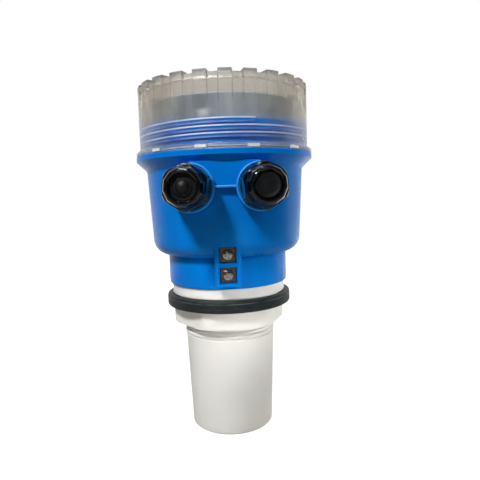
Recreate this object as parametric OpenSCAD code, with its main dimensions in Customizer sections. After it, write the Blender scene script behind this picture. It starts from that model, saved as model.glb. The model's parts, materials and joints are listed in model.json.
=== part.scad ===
// Ultrasonic level gauge: a potted sensor below, a moulded housing with two cable
// glands and two ground terminals, and a display under a clear screw cap.
// The sensor's face is at z = 0 and the glands point towards -Y.

/* [Sensor] */
// Radius of the sensor tube at its face
tube_face_r = 28.2; // [25:0.1:29.5]
// How much wider the tube is below its bead than at its face
tube_draft = 2.4; // [1.5:0.1:3.5]
// Height of the sensor tube up to its bead
tube_h = 65.2; // [50:0.1:90]
// Rounding at the edge of the sensor's face
face_round = 1.5; // [0.5:0.1:2.5]
// Thickness of the sensor's face
face_t = 2.5; // [1.5:0.1:4]
// Wall of the sensor tube at its face
tube_wall = 3; // [2:0.1:4]
// How far the bead stands out from the tube
bead_out = 0.5; // [0.2:0.1:1]
// Height of the bead
bead_h = 2.8; // [2:0.1:4]
// Height of the relief between bead and collar
relief_h = 5.3; // [3.5:0.1:8]
// How far the relief lies inside the tube's radius
relief_in = 1; // [0.4:0.1:2]
// How far the flats of the six-sided collar stand out beyond the gasket's seat
collar_over = 0.6; // [0.2:0.1:2]
// Rounding of the collar's six corners
collar_round = 12.8; // [6:0.1:16]
// Height of the collar
collar_h = 12.2; // [8:0.1:20]
// Turn of the collar about the sensor's axis
collar_turn = 8; // [-30:1:30]
// Bevel on the collar's corners
collar_bevel = 1; // [0.4:0.1:2]

/* [Neck and gasket] */
// Outer radius of the neck, from which the housing and the cap take their radii
neck_r = 38.7; // [37:0.1:41]
// How far the gasket's seat lies inside the neck
seat_in = 4.5; // [4.3:0.1:5.5]
// Height of the neck above the gasket
neck_h = 7.1; // [5:0.1:12]
// Height of the gasket
gasket_h = 8; // [5:0.1:12]
// How far the gasket stands out from the neck
gasket_out = 3.9; // [2:0.1:6]
// Depth of the two grooves round the gasket
gasket_groove = 0.5; // [0.2:0.1:0.9]
// How far the spigot inside the housing lies inside the neck
spigot_in = 4.7; // [4:0.1:5.5]
// Wall of the spigot and of the collar
spigot_wall = 3.6; // [2.5:0.1:5]
// Diameter of the O-ring section under the housing
o_ring_d = 2.4; // [1.6:0.1:2.8]
// Height of the locknut
locknut_h = 6; // [4:0.1:8]
// How far the spigot stands above the locknut
spigot_over = 4; // [1:0.1:6]

/* [Housing] */
// How far the skirt stands out from the neck
skirt_out = 1.9; // [1.2:0.1:3.5]
// Height of the skirt
skirt_h = 19.9; // [16:0.1:26]
// Thickness of the housing's floor round the spigot
floor_t = 7; // [4:0.1:8]
// Radius of the curve under the bowl
bowl_round = 10; // [8:0.1:10.5]
// Height of the bowl, from the skirt to the flange
bowl_h = 57; // [50:0.1:70]
// How much wider the bowl is at its top than at its bottom
bowl_draft = 2.3; // [1.5:0.1:3]
// Wall of the bowl
bowl_wall = 3.6; // [3:0.1:4.2]
// How far the flange under the cap stands out from the bowl
flange_out = 6.65; // [5.5:0.05:9]
// Height of the cone under the flange
flange_cone_h = 4.5; // [3:0.1:6]
// Height of the flange's rim
flange_h = 3.3; // [2:0.1:5]
// How far the screw neck lies inside the top of the bowl
screw_neck_in = 1; // [0.5:0.1:1.5]
// Wall of the screw neck
screw_neck_wall = 2.5; // [2:0.1:2.7]
// Height of the screw neck above the flange
screw_neck_h = 18.1; // [14:0.1:24]

/* [Glands] */
// Height of the gland axes above the bowl's lower edge
gland_up = 43; // [40:0.1:44]
// Distance of each boss centre from the middle
boss_x = 20.5; // [19:0.1:22]
// How far the boss faces stand out in front of the bowl
boss_out = 6.8; // [5:0.1:11]
// Outward turn of the glands
gland_toe = 5; // [0:1:8]
// How far the bosses stand out round the gland hexagons' flats
boss_rim = 2.2; // [2:0.1:3]
// Width of the gland hexagons across their flats
gland_af = 24; // [22.5:0.1:25]
// Radius of the gland's thread in the boss
gland_thread_r = 9.95; // [9:0.05:10.5]
// Length of the gland's thread in the boss
gland_thread_h = 12; // [8:0.1:14]
// Thickness of the gland's washer
washer_t = 1.5; // [1:0.1:2.5]
// Height of the gland body's hexagon
gland_hex_h = 6; // [4:0.1:8]
// How far the gland body's neck lies inside its thread
gland_neck_in = 0.65; // [0.3:0.05:1.1]
// Length of the gland body's neck
gland_neck_h = 9; // [7:0.1:12]
// Radius of the hole through the gland body
gland_bore_r = 6; // [4:0.1:6.5]
// Wall of the gland body's neck round the rubber seal
gland_neck_wall = 1.22; // [1:0.02:1.6]
// Length of the rubber seal in each gland
gland_seal_h = 11.2; // [9:0.1:13]
// Height of the nut's hexagon
nut_hex_h = 9.5; // [7:0.1:12]
// Depth of the mouth in front of the seal
mouth_depth = 2.2; // [1.5:0.1:3]
// How far the lip of the nut's mouth covers the seal
mouth_lip = 0.6; // [0.3:0.1:1.2]
// Radius of the blanking plug in the left gland
plug_r = 3.9; // [3:0.1:5]

/* [Web and ground terminals] */
// How far the web between the bosses lies behind their faces
web_in = 1.7; // [0.5:0.1:3]
// Width of the ground pad
pad_w = 16; // [14:0.1:19]
// How far the ground pad stands out from the skirt
pad_out = 8.9; // [7.9:0.1:9.4]
// Height of the ground pad above the skirt's lower edge
pad_up = 3.4; // [2:0.1:3.8]
// Height of the ground pad
pad_h = 25.4; // [24:0.1:26]
// Width of each terminal pocket
pocket_w = 10.4; // [9.8:0.1:12]
// Height of each terminal pocket
pocket_h = 9.8; // [9.5:0.1:10.4]
// Depth of each terminal pocket
pocket_depth = 3.6; // [3:0.1:4]
// Distance between the terminal pockets
pocket_pitch = 12.4; // [12:0.1:13]
// Side of the square clamp plates
plate_w = 9.2; // [8:0.1:9.4]
// Thickness of the clamp plates
plate_t = 1.2; // [0.8:0.1:1.6]
// Radius of the terminal screws' heads
ground_head_r = 2.95; // [2.5:0.05:3.6]
// Height of the terminal screws' heads
ground_head_h = 2; // [1.5:0.1:2.2]
// Radius of the terminal screws' shanks
ground_shank_r = 1.95; // [1.5:0.05:2.1]
// Radius of the brass inserts
insert_r = 3.2; // [2.8:0.05:3.8]
// Length of the brass inserts
insert_h = 5; // [3.5:0.1:6]

/* [Cap] */
// How far the cap's lip lies inside the flange's rim
lip_in = 0.25; // [0.1:0.05:0.6]
// How far the lip stands out from the cap's side
lip_out = 2.5; // [1.5:0.1:3]
// Wall of the cap beside the screw neck
cap_wall = 2.8; // [2.6:0.1:3.2]
// How much the cap narrows inside, above the screw neck
cap_step = 1.2; // [0.6:0.1:2]
// Height of the cap
cap_h = 44.5; // [40:0.1:52]
// Thickness of the cap's top
cap_top_t = 3; // [2:0.1:4]
// Number of grip lugs
lug_count = 24; // [12:2:30]
// Width of each grip lug
lug_w = 8.6; // [7:0.1:9]
// Height of the grip lugs
lug_h = 15.5; // [12:0.1:18]
// Depth of the hollows between the lugs
lug_depth = 2; // [1:0.1:2.4]
// Turn of the lugs about the cap's axis
lug_turn = 1.8; // [0:0.1:15]
// Width of the pads on the cap's lip
lip_pad_w = 6.8; // [4:0.1:8]
// Height of the cap's seal
cap_seal_h = 2.4; // [1.5:0.1:3]
// Width of the cap's seal
cap_seal_w = 1.9; // [1.4:0.1:2.2]

/* [Display] */
// Gap between the display can and the screw neck
can_gap = 0.8; // [0.4:0.1:1.5]
// How much narrower the display can is at its top
can_draft = 0.7; // [0.2:0.1:1.2]
// Wall of the display can
can_wall = 1.6; // [1.2:0.1:2.2]
// Height of the display can above the screw neck
can_over = 15.3; // [12:0.1:17]
// Height of the display can
can_h = 42.4; // [38:0.1:43.5]
// Thickness of the display can's top
can_top_t = 2; // [1.5:0.1:2.5]
// Width of the display window
window_w = 46; // [38:0.1:50]
// Depth of the display window, front to back
window_d = 25; // [20:0.1:26]
// Distance of the window's middle behind the axis
window_back = 8; // [6:0.1:10]
// Thickness of the fascia on the can
fascia_t = 0.8; // [0.5:0.1:1.2]
// Width of the can's rim round the fascia
fascia_in = 2.1; // [1.5:0.1:3.5]
// Radius of the keys
key_r = 4; // [3:0.1:4.6]
// Distance between the keys
key_pitch = 14; // [12.5:0.1:15]
// Distance of the keys in front of the axis
key_front = 22; // [20:0.1:24]
// How far the keys stand out of the fascia
key_out = 1.3; // [1:0.1:2]
// Travel of the keys
key_travel = 0.8; // [0.4:0.1:0.9]
// Distance of the display board below the can's top plate
display_drop = 7.6; // [7:0.1:9]

/* [Main board] */
// Height of the posts that carry the main board
post_h = 14; // [12:0.1:16]
// Radius of the posts
post_r = 3; // [2.6:0.1:3.2]
// Distance of the posts' centres from the main board's edge
post_in = 3.3; // [3.1:0.1:4]
// Gap between the main board and the bowl
board_gap = 2.1; // [1.9:0.1:3]
// Thickness of both circuit boards
board_t = 1.6; // [1.2:0.1:2]
// Number of terminals
pole_count = 8; // [4:1:9]
// Distance between terminals
pole_pitch = 5.08; // [4.8:0.02:5.5]
// Depth of the terminal block, front to back
terminal_d = 13; // [10:0.1:14]
// Height of the terminal block
terminal_h = 12; // [9:0.1:14]
// Radius of the sensor's lead
lead_r = 2; // [1.5:0.1:2.6]
// Distance of the sensor's lead from the axis
lead_x = 14; // [8:0.1:16]

/* [Hidden] */
$fn = 96;

// Clearances
thread_gap = 0.1;
slide_gap = 0.08;
loose_gap = 0.4;
seat_gap = 0.2;
cut = 1;

// Colours
shell_blue = "#0a6fc6";
sensor_white = "#e4e1d8";
rubber_black = "#20262b";
gland_black = "#121317";
cap_smoke = [0.72, 0.70, 0.66, 0.45];
slate = "#5c6672";
board_green = "#1c6b43";
brass = "#c8a24a";
steel = "#b9b6ae";

// Radii, each from the one it fits
seat_r = neck_r - seat_in;
gasket_r = neck_r + gasket_out;
spigot_r = neck_r - spigot_in;
neck_bore_r = spigot_r - spigot_wall;
skirt_r = neck_r + skirt_out;
tube_top_r = tube_face_r + tube_draft;
gland_neck_r = gland_thread_r - gland_neck_in;
gland_seal_r = gland_neck_r - gland_neck_wall - slide_gap;
mouth_r = gland_seal_r - mouth_lip;

// Heights of the sensor
bead_z = tube_h;
relief_z = bead_z + bead_h;
collar_z = relief_z + relief_h;
seat_z = collar_z + collar_h;
neck_z = seat_z + gasket_h;
base_z = neck_z + neck_h;
bore_step_z = collar_z + tube_wall;
collar_in_r = seat_r + collar_over;
relief_r = tube_top_r - relief_in;
tube_bore_r = tube_face_r - tube_wall;
spigot_top = base_z + floor_t + locknut_h + spigot_over;
o_ring_r = (spigot_r + neck_r) / 2;

// Stack of the transducer
matching_t = 5;
piezo_t = 4;
foam_t = 5.2;
piezo_r = tube_bore_r - foam_t;
backing_t = 22;
backing_z = face_t + matching_t + piezo_t;
potting_z = backing_z + backing_t;
potting_top = spigot_top - 2;
probe_r = 2;
probe_h = 9;
probe_at = tube_bore_r - 5;

// Heights and radii of the housing
skirt_z = base_z + skirt_h;
bowl_mid_r = skirt_r - 0.4;
bowl_low_r = bowl_mid_r + bowl_round;
bowl_high_r = bowl_low_r + bowl_draft;
flange_r = bowl_high_r + flange_out;
screw_neck_r = bowl_high_r - screw_neck_in;
bowl_side_z = skirt_z + bowl_round;
bowl_top_z = skirt_z + bowl_h;
flange_z = bowl_top_z + flange_cone_h;
flange_top = flange_z + flange_h;
rim_z = flange_top + screw_neck_h;
pocket_r = spigot_r + 4;
locknut_r = pocket_r - 0.8;
screw_neck_in_r = screw_neck_r - screw_neck_wall;
crease = 0.4;
gland_z = skirt_z + gland_up;
boss_y = bowl_low_r + boss_out;
boss_r = gland_af / 2 + boss_rim;
boss_depth = 24;
web_y = boss_y - web_in;

// Places inside the housing
can_z = rim_z + can_over - can_h;
can_top = can_z + can_h;
can_plate_z = can_top - can_top_t;
can_r = screw_neck_in_r - can_gap;
board_r = bowl_low_r - bowl_wall - board_gap;
post_at = board_r - post_in;
rib_in_r = board_r + loose_gap;
rib_t = 3;
rib_out_r = bowl_low_r - bowl_wall / 2;
board_z = skirt_z + bowl_wall + post_h;
board_top = board_z + board_t;
post_turn = 20;
screw_shank_r = 1.4;
screw_head_r = 2.7;
screw_head_h = 1.9;
screw_len = 8;

// The glands, measured outwards from the boss face
gland_hex_z = washer_t;
gland_neck_z = gland_hex_z + gland_hex_h;
gland_neck_end = gland_neck_z + gland_neck_h;
seal_z = gland_neck_end - 5.5;
seal_end = seal_z + gland_seal_h;
nut_z = gland_neck_z + loose_gap;
nut_nose_z = nut_z + nut_hex_h;
nut_end = seal_end + seat_gap + mouth_depth;
nut_bore_r = gland_neck_r + slide_gap;
hex_corner = 1 / cos(30);
left_hex_turn = 24;
right_hex_turn = 36;

// The cap
cap_z = flange_top + seat_gap;
lip_r = flange_r - lip_in;
cap_r = lip_r - lip_out;
cap_in_r = cap_r - cap_wall;
cap_top_in_r = cap_in_r - cap_step;
cap_top = cap_z + cap_h;
cap_seal_in_r = cap_in_r - seat_gap;
cap_seal_r = cap_seal_in_r + cap_seal_w;
lug_z = cap_top - lug_h;
lug_angle = 2 * asin(lug_w / 2 / cap_r);
lug_step = 360 / lug_count;
shoulder = 2.4;
cap_step_z = rim_z + 2;

// The display
display_board_top = can_plate_z - display_drop;
display_board_z = display_board_top - board_t;
display_board_r = can_r - can_draft - can_wall - 2.2;
column_at = display_board_r - 4;
column_turn = 30;
fascia_z = can_top;
fascia_r = can_r - can_draft - fascia_in;
display_screw_len = 6;
lcd_margin = 3.5;
key_flange_r = key_r + 0.8;
key_flange_h = 1.2;
key_foot_gap = 0.3;
switch_w = 6;
switch_h = 3;

// The ground terminals
pad_z = base_z + pad_up;
pad_y = skirt_r + pad_out;
pocket_mid_z = pad_z + pad_h / 2 + 0.4;
pocket_y = pad_y - pocket_depth;

// The parts on the main board
terminal_w = pole_count * pole_pitch + 1.6;
terminal_y = 9.5 - board_r;
well_r = 1.9;
ribbon_w = 20;
ribbon_t = 0.9;
ribbon_y = board_r - 10.5;
header_h = 6;
header_d = 5;
plug_size = [11, 7, 7];
module_size = [32, 20, 16];
module_at = [-1, 14];
relay_size = [15, 19, 15];
relay_x = board_r - 14.5;
capacitor_r = 5;
capacitor_h = 14;
capacitor_y = -8;
capacitor_x = [-12, 2];

// Points of an arc in a profile, from one angle to another
function arc(at, r, from, to, steps = 8) =
    [for (i = [0:steps]) let (a = from + (to - from) * i / steps) at + r * [cos(a), sin(a)]];

// Places a child in the frame of one gland: its +Z points outwards
module at_gland(side) {
    translate([side * boss_x, -boss_y, gland_z]) rotate([90, 0, side * gland_toe]) children();
}

// Repeats a child round the axis
module around(count, r, turn = 0) {
    for (i = [0:count - 1])
        rotate(turn + i * 360 / count) translate([r, 0, 0]) children();
}

// A plain tube along Z
module ring(outer, inner, h) {
    difference() {
        cylinder(r = outer, h = h);
        translate([0, 0, -cut]) cylinder(r = inner, h = h + 2 * cut);
    }
}

// A hexagonal prism whose corners are bevelled at both ends
module hex_block(af, h, bevel) {
    r = af / 2 * hex_corner;
    intersection() {
        cylinder(r = r, h = h, $fn = 6);
        rotate_extrude()
            polygon([[0, 0], [r - bevel, 0], [r, bevel / 2], [r, h - bevel / 2],
                     [r - bevel, h], [0, h]]);
    }
}

// Sensor

module sensor_outline() {
    bead_mid = bead_z + bead_h / 2;
    polygon(concat(
        [[0, 0]],
        arc([tube_face_r - face_round, face_round], face_round, -90, 0, 5),
        [[tube_top_r, bead_z - 0.5], [tube_top_r - 0.4, bead_z - 0.3], [tube_top_r - 0.4, bead_z]],
        arc([tube_top_r + bead_out - bead_h / 2, bead_mid], bead_h / 2, -70, 70, 6),
        [[relief_r, relief_z], [relief_r, relief_z + 0.5], [relief_r + 0.7, relief_z + 0.9],
         [relief_r + 0.7, relief_z + 1.9], [relief_r, relief_z + 2.3],
         [relief_r, collar_z + 1], [seat_r, collar_z + 1], [seat_r, neck_z],
         [neck_r - 0.5, neck_z], [neck_r, neck_z + 0.5], [neck_r, base_z - 0.5],
         [neck_r - 0.5, base_z], [spigot_r, base_z], [spigot_r, spigot_top - 1],
         [spigot_r - 1, spigot_top], [0, spigot_top]]));
}

// The six-sided collar, its corners rounded and bevelled
module collar() {
    round_at = (collar_in_r - collar_round) / cos(30);
    corner_r = round_at + collar_round;
    intersection() {
        translate([0, 0, collar_z]) linear_extrude(collar_h)
            polygon([for (i = [0:5]) let (a = collar_turn - 60 + 60 * i)
                each arc(round_at * [cos(a), sin(a)], collar_round, a - 30, a + 30, 10)]);
        rotate_extrude()
            polygon([[0, collar_z], [corner_r - collar_bevel, collar_z],
                     [corner_r + collar_bevel, collar_z + 2 * collar_bevel],
                     [corner_r + collar_bevel, seat_z - 2 * collar_bevel],
                     [corner_r - collar_bevel, seat_z], [0, seat_z]]);
    }
}

module sensor_body() {
    color(sensor_white) difference() {
        union() {
            rotate_extrude() sensor_outline();
            collar();
        }
        translate([0, 0, face_t]) cylinder(r = tube_bore_r, h = spigot_top);
        translate([0, 0, bore_step_z]) cylinder(r = neck_bore_r, h = spigot_top);
        translate([0, 0, base_z - o_ring_d]) ring(o_ring_r + 1.6, o_ring_r - 1.6, o_ring_d + cut);
    }
}

module mounting_gasket() {
    groove_w = 0.9;
    color(rubber_black) difference() {
        rotate_extrude()
            polygon([[seat_r, seat_z], [gasket_r - 0.7, seat_z], [gasket_r, seat_z + 0.7],
                     [gasket_r, neck_z - 0.7], [gasket_r - 0.7, neck_z], [seat_r, neck_z]]);
        for (share = [1 / 3, 2 / 3])
            translate([0, 0, seat_z + share * gasket_h - groove_w / 2])
                ring(gasket_r + cut, gasket_r - gasket_groove, groove_w);
    }
}

module sensor_o_ring() {
    color(rubber_black) translate([0, 0, base_z - o_ring_d / 2])
        rotate_extrude() translate([o_ring_r, 0]) circle(d = o_ring_d, $fn = 32);
}

module sensor_locknut() {
    slot_w = 6;
    slot_d = 1.6;
    color(sensor_white) translate([0, 0, base_z + floor_t]) difference() {
        ring(locknut_r, spigot_r + thread_gap, locknut_h);
        around(6, locknut_r - slot_d)
            translate([0, -slot_w / 2, locknut_h / 3]) cube([slot_d + cut, slot_w, locknut_h]);
    }
}

module matching_layer() {
    color("#cfc7a8") translate([0, 0, face_t]) cylinder(r = piezo_r, h = matching_t);
}

module piezo_disc() {
    color("#c9c4bb") translate([0, 0, face_t + matching_t]) cylinder(r = piezo_r, h = piezo_t);
}

module foam_sleeve() {
    color("#8f8a80") translate([0, 0, face_t])
        ring(tube_bore_r - thread_gap, piezo_r + thread_gap, matching_t + piezo_t);
}

module temperature_sensor() {
    color("#2b3d55") translate([0, probe_at, backing_z])
        rotate_extrude()
            polygon(concat([[0, 0]], [[probe_r, 0]],
                arc([0, probe_h - probe_r], probe_r, 0, 90, 6)));
}

module backing_block() {
    color("#5a5550") difference() {
        translate([0, 0, backing_z]) cylinder(r = tube_bore_r - thread_gap, h = backing_t);
        translate([0, probe_at, backing_z - cut])
            cylinder(r = probe_r + thread_gap, h = probe_h + cut + thread_gap);
    }
}

module potting_compound() {
    low_r = tube_bore_r - thread_gap;
    high_r = neck_bore_r - thread_gap;
    step_z = bore_step_z + thread_gap;
    color("#3a3f46") difference() {
        rotate_extrude()
            polygon([[0, potting_z], [low_r, potting_z], [low_r, step_z], [high_r, step_z],
                     [high_r, potting_top], [0, potting_top]]);
        translate([lead_x, 0, potting_z - cut])
            cylinder(r = lead_r + thread_gap, h = spigot_top);
    }
}

module sensor_lead() {
    color("#26282c") translate([lead_x, 0, potting_z])
        cylinder(r = lead_r, h = board_z - plug_size[2] - potting_z);
}

module lead_plug() {
    color("#e9e6df") translate([lead_x, 0, board_z - plug_size[2] / 2]) cube(plug_size, center = true);
}

// Housing

module housing_outline() {
    polygon(concat(
        [[0, base_z], [skirt_r - 0.8, base_z], [skirt_r - 0.3, base_z + 0.5],
         [skirt_r, base_z + 3], [skirt_r, skirt_z - 1.2], [skirt_r - crease, skirt_z]],
        arc([bowl_mid_r, bowl_side_z], bowl_round, -90, 0, 12),
        [[bowl_high_r, bowl_top_z - 3]],
        arc([bowl_high_r + 3, bowl_top_z - 3], 3, 180, 130, 5),
        [[flange_r - 0.5, flange_z - 0.4], [flange_r, flange_z], [flange_r, flange_top - 0.5],
         [flange_r - 0.5, flange_top], [screw_neck_r + 0.6, flange_top],
         [screw_neck_r, flange_top + 0.6], [screw_neck_r, rim_z - 0.6],
         [screw_neck_r - 0.6, rim_z], [0, rim_z]]));
}

module housing_cavity() {
    inner_round = bowl_round - bowl_wall;
    polygon(concat(
        [[0, base_z - cut], [spigot_r + thread_gap, base_z - cut],
         [spigot_r + thread_gap, base_z + floor_t], [pocket_r, base_z + floor_t],
         [pocket_r, skirt_z + bowl_wall - 0.5], [pocket_r + 0.5, skirt_z + bowl_wall]],
        arc([bowl_mid_r, bowl_side_z], inner_round, -90, 0, 8),
        [[bowl_high_r - bowl_wall, bowl_top_z], [screw_neck_in_r, bowl_top_z + 2],
         [screw_neck_in_r, rim_z - 0.5], [screw_neck_in_r + 0.5, rim_z],
         [screw_neck_in_r + 0.5, rim_z + cut], [0, rim_z + cut]]));
}

module boss() {
    edge = 0.8;
    translate([0, 0, -boss_depth]) rotate_extrude()
        polygon([[0, 0], [boss_r, 0], [boss_r, boss_depth - edge], [boss_r - edge, boss_depth],
                 [0, boss_depth]]);
}

module web() {
    web_top = bowl_top_z + 1.5;
    web_in = bowl_low_r - bowl_wall / 2;
    translate([-boss_x, -web_y, gland_z - 0.3])
        cube([2 * boss_x, web_y - web_in + 6, web_top - gland_z]);
}

module ground_pad() {
    edge = 0.8;
    translate([0, 0, pad_z]) linear_extrude(pad_h)
        polygon([[-pad_w / 2, -pocket_r - 1], [-pad_w / 2, edge - pad_y], [edge - pad_w / 2, -pad_y],
                 [pad_w / 2 - edge, -pad_y], [pad_w / 2, edge - pad_y], [pad_w / 2, -pocket_r - 1]]);
}

// Places a child at one ground terminal: +Z points out of the pad
module at_terminal(up) {
    translate([0, -pocket_y, pocket_mid_z + up * pocket_pitch / 2]) rotate([90, 0, 0]) children();
}

module terminal_pocket() {
    translate([-pocket_w / 2, -pocket_h / 2, 0]) cube([pocket_w, pocket_h, pocket_depth + cut]);
    translate([0, 0, -insert_h]) cylinder(r = insert_r, h = insert_h + cut, $fn = 48);
}

module can_rib() {
    floor_z = bowl_side_z - bowl_round + bowl_wall;
    rotate([90, 0, 0]) translate([0, 0, -rib_t / 2]) linear_extrude(rib_t)
        polygon([[rib_in_r, floor_z], [rib_out_r, bowl_side_z], [rib_out_r, can_z], [rib_in_r, can_z]]);
}

module board_post() {
    difference() {
        translate([0, 0, skirt_z + bowl_wall / 2])
            cylinder(r = post_r, h = board_z - skirt_z - bowl_wall / 2);
        translate([0, 0, board_top - screw_len])
            cylinder(r = screw_shank_r + thread_gap, h = screw_len, $fn = 32);
    }
}

// Thick wall behind the ground pad, for the inserts
module pad_core() {
    back_y = pocket_y - insert_h - 2;
    translate([-pad_w / 2, -pad_y + 1, pad_z + 1]) cube([pad_w, pad_y - 1 - back_y, pad_h - 1]);
}

module housing_shell() {
    difference() {
        union() {
            rotate_extrude() housing_outline();
            at_gland(-1) boss();
            at_gland(1) boss();
            web();
            ground_pad();
        }
        rotate_extrude() housing_cavity();
        for (side = [-1, 1])
            at_gland(side) translate([0, 0, -boss_depth])
                cylinder(r = gland_thread_r + thread_gap, h = boss_depth + cut);
    }
}

module housing() {
    color(shell_blue) union() {
        difference() {
            union() {
                housing_shell();
                pad_core();
            }
            for (up = [-1, 1]) at_terminal(up) terminal_pocket();
        }
        around(4, 0, 45) can_rib();
        around(4, post_at, post_turn) board_post();
    }
}

// Ground terminals

module ground_insert(up) {
    color(brass) at_terminal(up) translate([0, 0, -insert_h])
        ring(insert_r, ground_shank_r + thread_gap, insert_h, $fn = 48);
}

module ground_plate(up) {
    color(steel) at_terminal(up) difference() {
        translate([-plate_w / 2, -plate_w / 2, 0]) cube([plate_w, plate_w, plate_t]);
        translate([0, 0, -cut])
            cylinder(r = ground_shank_r + thread_gap, h = plate_t + 2 * cut, $fn = 48);
    }
}

module ground_screw(up) {
    shank_h = plate_t + insert_h - 0.8;
    recess_w = 0.9;
    recess_d = 1.1;
    color(steel) at_terminal(up) difference() {
        union() {
            translate([0, 0, plate_t - shank_h]) cylinder(r = ground_shank_r, h = shank_h, $fn = 48);
            translate([0, 0, plate_t]) rotate_extrude($fn = 48)
                polygon(concat([[0, 0]], [[ground_head_r, 0]],
                    arc([ground_head_r - 1, ground_head_h - 1], 1, 0, 90, 5), [[0, ground_head_h]]));
        }
        for (turn = [20, 110])
            translate([0, 0, plate_t + ground_head_h]) rotate(turn)
                cube([ground_head_r * 1.2, recess_w, 2 * recess_d], center = true);
    }
}

module ground_insert_upper() { ground_insert(1); }
module ground_insert_lower() { ground_insert(-1); }
module ground_plate_upper() { ground_plate(1); }
module ground_plate_lower() { ground_plate(-1); }
module ground_screw_upper() { ground_screw(1); }
module ground_screw_lower() { ground_screw(-1); }

// Cable glands

module gland_body(side, hex_turn) {
    color(gland_black) at_gland(side) difference() {
        union() {
            translate([0, 0, -gland_thread_h])
                cylinder(r = gland_thread_r, h = gland_thread_h + gland_hex_z + cut);
            translate([0, 0, gland_hex_z]) rotate(hex_turn) hex_block(gland_af, gland_hex_h, 1.4);
            translate([0, 0, gland_neck_z - cut]) cylinder(r = gland_neck_r, h = gland_neck_h + cut);
        }
        translate([0, 0, -gland_thread_h - cut])
            cylinder(r = gland_bore_r, h = gland_thread_h + nut_end);
        translate([0, 0, seal_z]) cylinder(r = gland_seal_r + slide_gap, h = nut_end);
    }
}

module gland_washer(side) {
    color(rubber_black) at_gland(side)
        ring(gland_af / 2 + 0.4, gland_thread_r + thread_gap, washer_t);
}

module gland_seal(side, hole_r) {
    color(rubber_black) at_gland(side) difference() {
        translate([0, 0, seal_z]) rotate_extrude()
            polygon([[0, 0], [gland_seal_r, 0], [gland_seal_r, gland_seal_h - 1.2],
                     [gland_seal_r - 0.8, gland_seal_h], [0, gland_seal_h]]);
        translate([0, 0, seal_z - cut]) cylinder(r = hole_r, h = gland_seal_h + 2 * cut);
    }
}

module gland_nut(side, hex_turn) {
    nose_low_r = gland_af / 2 + 0.5;
    nose_mid_r = gland_af / 2 - 0.1;
    nose_high_r = mouth_r + 2.2;
    nose_mid_z = nut_nose_z + (nut_end - nut_nose_z) * 0.45;
    color(gland_black) at_gland(side) difference() {
        union() {
            translate([0, 0, nut_z]) rotate(hex_turn) hex_block(gland_af, nut_hex_h, 1.6);
            rotate(hex_turn + 15) {
                translate([0, 0, nut_nose_z - cut])
                    cylinder(r1 = nose_low_r, r2 = nose_mid_r, h = nose_mid_z - nut_nose_z + cut,
                             $fn = 12);
                translate([0, 0, nose_mid_z])
                    cylinder(r1 = nose_mid_r, r2 = nose_high_r, h = nut_end - nose_mid_z, $fn = 12);
            }
        }
        translate([0, 0, nut_z - cut]) cylinder(r = nut_bore_r, h = gland_neck_end + 3 - nut_z + cut);
        translate([0, 0, gland_neck_end])
            cylinder(r = gland_seal_r + loose_gap, h = seal_end + seat_gap - gland_neck_end);
        translate([0, 0, gland_neck_end]) cylinder(r = mouth_r, h = nut_end);
    }
}

module gland_left_body() { gland_body(-1, left_hex_turn); }
module gland_left_washer() { gland_washer(-1); }
module gland_left_seal() { gland_seal(-1, plug_r + thread_gap); }
module gland_left_nut() { gland_nut(-1, left_hex_turn); }
module gland_right_body() { gland_body(1, right_hex_turn); }
module gland_right_washer() { gland_washer(1); }
module gland_right_seal() { gland_seal(1, plug_r + thread_gap); }
module gland_right_nut() { gland_nut(1, right_hex_turn); }

module gland_left_plug() {
    head_r = plug_r + 0.5;
    stem_h = gland_seal_h - 2;
    color(gland_black) at_gland(-1) translate([0, 0, seal_end]) rotate_extrude()
        polygon(concat([[0, -stem_h], [plug_r, -stem_h], [plug_r, 0], [head_r, 0], [head_r, 0.6]],
            arc([0, -2.6], 4.6, 42, 90, 8)));
}

module gland_right_disc() {
    disc_r = mouth_r - 0.3;
    color(gland_black) at_gland(1) translate([0, 0, seal_end]) rotate_extrude()
        polygon([[0, 0], [disc_r, 0], [disc_r, 1.1], [disc_r - 0.8, 1.1], [disc_r - 2, 0.7], [0, 0.5]]);
}

// Cap

module cap_outline() {
    polygon(concat(
        [[0, cap_z], [lip_r - 0.4, cap_z], [lip_r, cap_z + 0.4], [lip_r, cap_z + 1.6]],
        arc([lip_r, cap_z + 2.5 + lip_out], lip_out, -95, -180, 6),
        [[cap_r, cap_z + 6.5]],
        arc([cap_r - shoulder, cap_top - shoulder], shoulder, 0, 90, 6),
        [[0, cap_top]]));
}

module cap_hollow() {
    round = 3;
    under = cap_top - cap_top_t;
    polygon(concat(
        [[0, cap_z - cut], [cap_seal_r + slide_gap, cap_z - cut],
         [cap_seal_r + slide_gap, cap_z + cap_seal_h], [cap_in_r, cap_z + cap_seal_h],
         [cap_in_r, cap_step_z], [cap_top_in_r, cap_step_z + 2]],
        arc([cap_top_in_r - round, under - round], round, 0, 90, 6),
        [[0, under]]));
}

module grip_hollow() {
    hollow_r = cap_r - lug_depth;
    sweep = lug_step - lug_angle;
    far = cap_r + 4;
    floor_z = cap_top - 1;
    rotate(lug_turn - 90 + lug_angle / 2) rotate_extrude(angle = sweep)
        polygon(concat(
            [[far, lug_z - 1], [cap_r + 0.5, lug_z - 1]],
            arc([hollow_r + 3, lug_z + 2.2], 3, -130, -180, 4),
            arc([hollow_r - shoulder, floor_z - shoulder], shoulder, 0, 90, 5),
            [[hollow_r - 7, floor_z], [hollow_r - 7, cap_top + cut], [far, cap_top + cut]]));
}

module lip_pad() {
    pad_high = 1.7;
    translate([lip_r - 1.6, -lip_pad_w / 2, cap_z + 0.4]) cube([1.75, lip_pad_w, pad_high]);
}

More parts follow.
